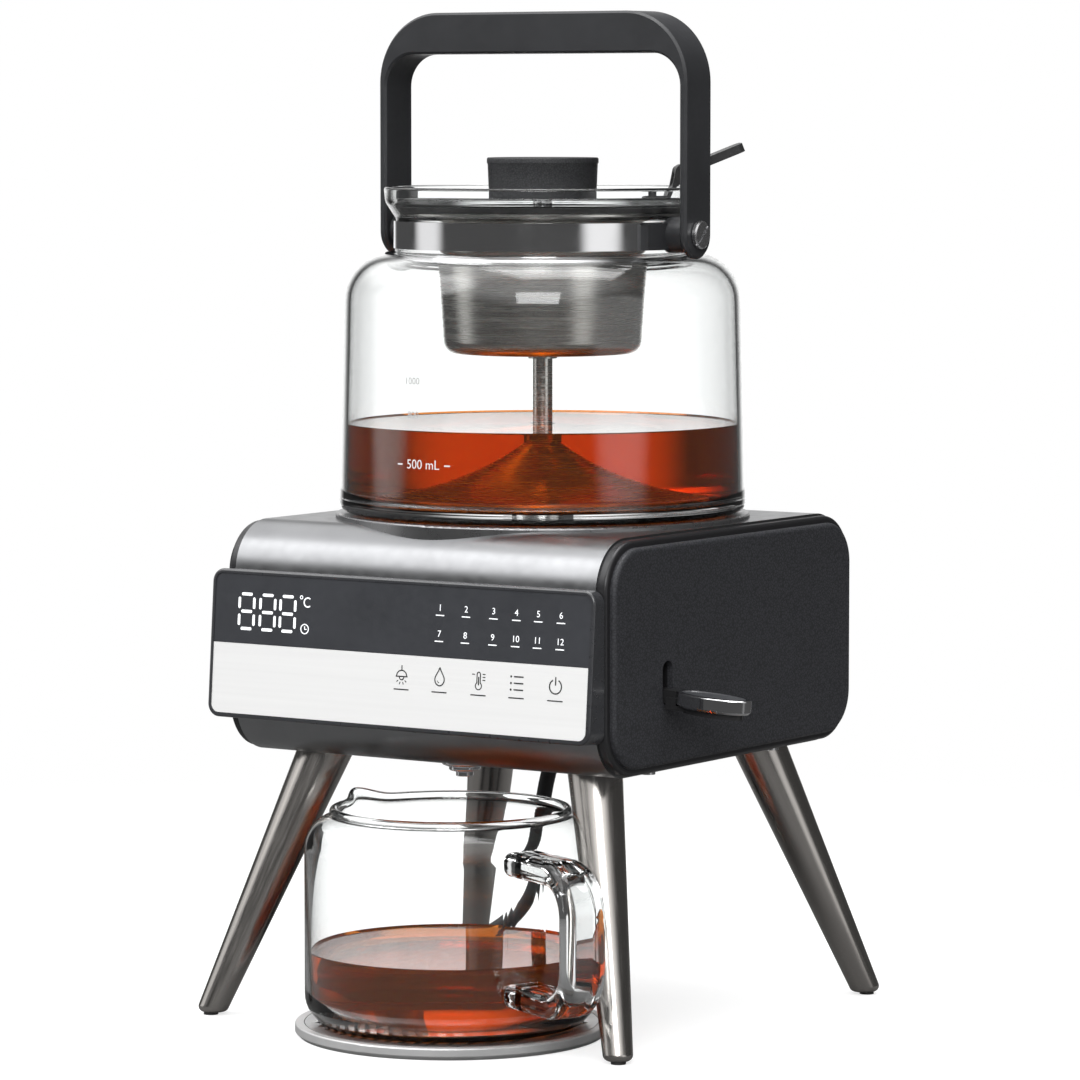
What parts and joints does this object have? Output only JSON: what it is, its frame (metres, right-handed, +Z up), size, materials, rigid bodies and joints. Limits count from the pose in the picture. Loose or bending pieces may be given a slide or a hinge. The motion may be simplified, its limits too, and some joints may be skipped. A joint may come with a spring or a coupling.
{
  "type": "tea maker",
  "caption": "Automatic tea maker: legged heating base with glass kettle and bail handle, infuser and lid, side tap lever, drip tray and glass jug below.",
  "frame": {"origin": "on the floor, below the middle of the whole outline without the mains lead", "axes": "+Z up, -Y towards the front panel, +X towards the lever"},
  "size_m": [0.2307, 0.2242, 0.3825],
  "materials": {
    "shell_metal": "satin",
    "rim_metal": "satin",
    "leather": "grained",
    "cover_plastic": "matte",
    "bright_steel": "bright",
    "leg_steel": "brushed",
    "glide_rubber": "matte",
    "bezel_plastic": "gloss",
    "display_glass": "gloss",
    "touch_steel": "brushed",
    "board_resin": "matte",
    "seat_plastic": "satin",
    "heater_aluminium": "satin",
    "fitting_steel": "satin",
    "nozzle_chrome": "polished",
    "band_chrome": "polished",
    "hose_silicone": "matte",
    "seal_silicone": "matte",
    "tap_plastic": "matte",
    "lamp_plastic": "frosted",
    "lever_plastic": "satin",
    "lever_chrome": "polished",
    "inlay_plastic": "satin",
    "kettle_clear": "clear",
    "lid_clear": "clear",
    "jug_clear": "clear",
    "handle_clear": "clear",
    "bail_plastic": "satin",
    "knob_plastic": "satin",
    "infuser_steel": "satin",
    "thumb_plastic": "satin",
    "tray_plastic": "satin",
    "tray_steel": "satin",
    "cord_rubber": "matte",
    "pin_brass": "plated"
  },
  "bodies": {
    "base": {"housing_shell": "shell_metal", "side_rim_left": "rim_metal", "side_rim_right": "rim_metal", "leather_panel_left": "leather", "leather_panel_right": "leather", "base_cover": "cover_plastic", "base_screws": "bright_steel", "leg_front_left": "leg_steel", "leg_front_right": "leg_steel", "leg_rear_left": "leg_steel", "leg_rear_right": "leg_steel", "leg_studs": "bright_steel", "leg_glides": "glide_rubber", "panel_bezel": "bezel_plastic", "display_window": "display_glass", "touch_plate": "touch_steel", "display_board": "board_resin", "power_board": "board_resin", "kettle_seat": "seat_plastic", "heater_plate": "heater_aluminium", "temperature_sensor": "fitting_steel", "drain_cup": "fitting_steel", "drain_hose": "hose_silicone", "tap_body": "tap_plastic", "outlet_nozzle": "nozzle_chrome", "lamp_lens": "lamp_plastic", "lever_bracket": "bright_steel", "lever_pin": "bright_steel", "cord_gland": "cord_rubber", "cord_lead": "cord_rubber", "cord_coil": "cord_rubber", "plug_body": "cord_rubber", "plug_pins": "pin_brass"},
    "lever": {"lever_arm": "lever_plastic", "lever_bezel": "lever_chrome", "lever_inlay": "inlay_plastic"},
    "tap": {"tap_plunger": "tap_plastic"},
    "kettle": {"kettle_glass": "kettle_clear", "kettle_mouth": "kettle_clear", "neck_band": "band_chrome", "bail_lug_left": "bail_plastic", "bail_lug_right": "bail_plastic", "pivot_screws": "bright_steel", "kettle_valve": "fitting_steel", "valve_nut": "fitting_steel"},
    "poppet": {"valve_poppet": "fitting_steel"},
    "bail": {"bail_handle": "bail_plastic"},
    "infuser": {"infuser_basket": "infuser_steel", "riser_tube": "infuser_steel", "steam_cone": "infuser_steel"},
    "lid": {"lid_glass": "lid_clear", "lid_seal": "seal_silicone", "lid_knob": "knob_plastic", "knob_screw": "bright_steel", "thumb_bracket": "thumb_plastic"},
    "thumb": {"thumb_lever": "thumb_plastic"},
    "tray": {"tray_dish": "tray_plastic", "tray_plate": "tray_steel"},
    "jug": {"jug_glass": "jug_clear", "jug_handle": "handle_clear"}
  },
  "joints": [
    {"name": "lever_hinge", "type": "hinge", "parent": "base", "child": "lever", "pos_m": [0.01425, -0.03129, 0.1346], "axis": [0, -1, 0], "range_deg": [0, 8.5]},
    {"name": "tap_slide", "type": "slide", "parent": "base", "child": "tap", "axis": [0, 0, 1], "range_m": [-0.0046, 0]},
    {"name": "kettle_lift", "type": "slide", "parent": "base", "child": "kettle", "axis": [0, 0, 1], "range_m": [0, 0.06]},
    {"name": "poppet_slide", "type": "slide", "parent": "kettle", "child": "poppet", "axis": [0, 0, 1], "range_m": [-0.004, 0]},
    {"name": "bail_hinge", "type": "hinge", "parent": "kettle", "child": "bail", "pos_m": [-0.01275, 0.01751, 0.2985], "axis": [1, 0, 0], "range_deg": [-88, 88]},
    {"name": "infuser_lift", "type": "slide", "parent": "kettle", "child": "infuser", "axis": [0, 0, 1], "range_m": [0, 0.016]},
    {"name": "lid_lift", "type": "slide", "parent": "infuser", "child": "lid", "axis": [0, 0, 1], "range_m": [0, 0.02]},
    {"name": "thumb_hinge", "type": "hinge", "parent": "lid", "child": "thumb", "pos_m": [0.02831, 0.05196, 0.3218], "axis": [-0.6428, 0.766, 0], "range_deg": [0, 12]},
    {"name": "tray_slide", "type": "slide", "parent": "base", "child": "tray", "axis": [0, -1, 0], "range_m": [0, 0.1]},
    {"name": "jug_slide", "type": "slide", "parent": "tray", "child": "jug", "axis": [0, -1, 0], "range_m": [0, 0.12]}
  ],
  "couplings": [
    {"joint": "tap_slide", "follows": "lever_hinge", "m_per_rad": -0.02997},
    {"joint": "poppet_slide", "follows": "kettle_lift", "ratio": -0.0666}
  ]
}
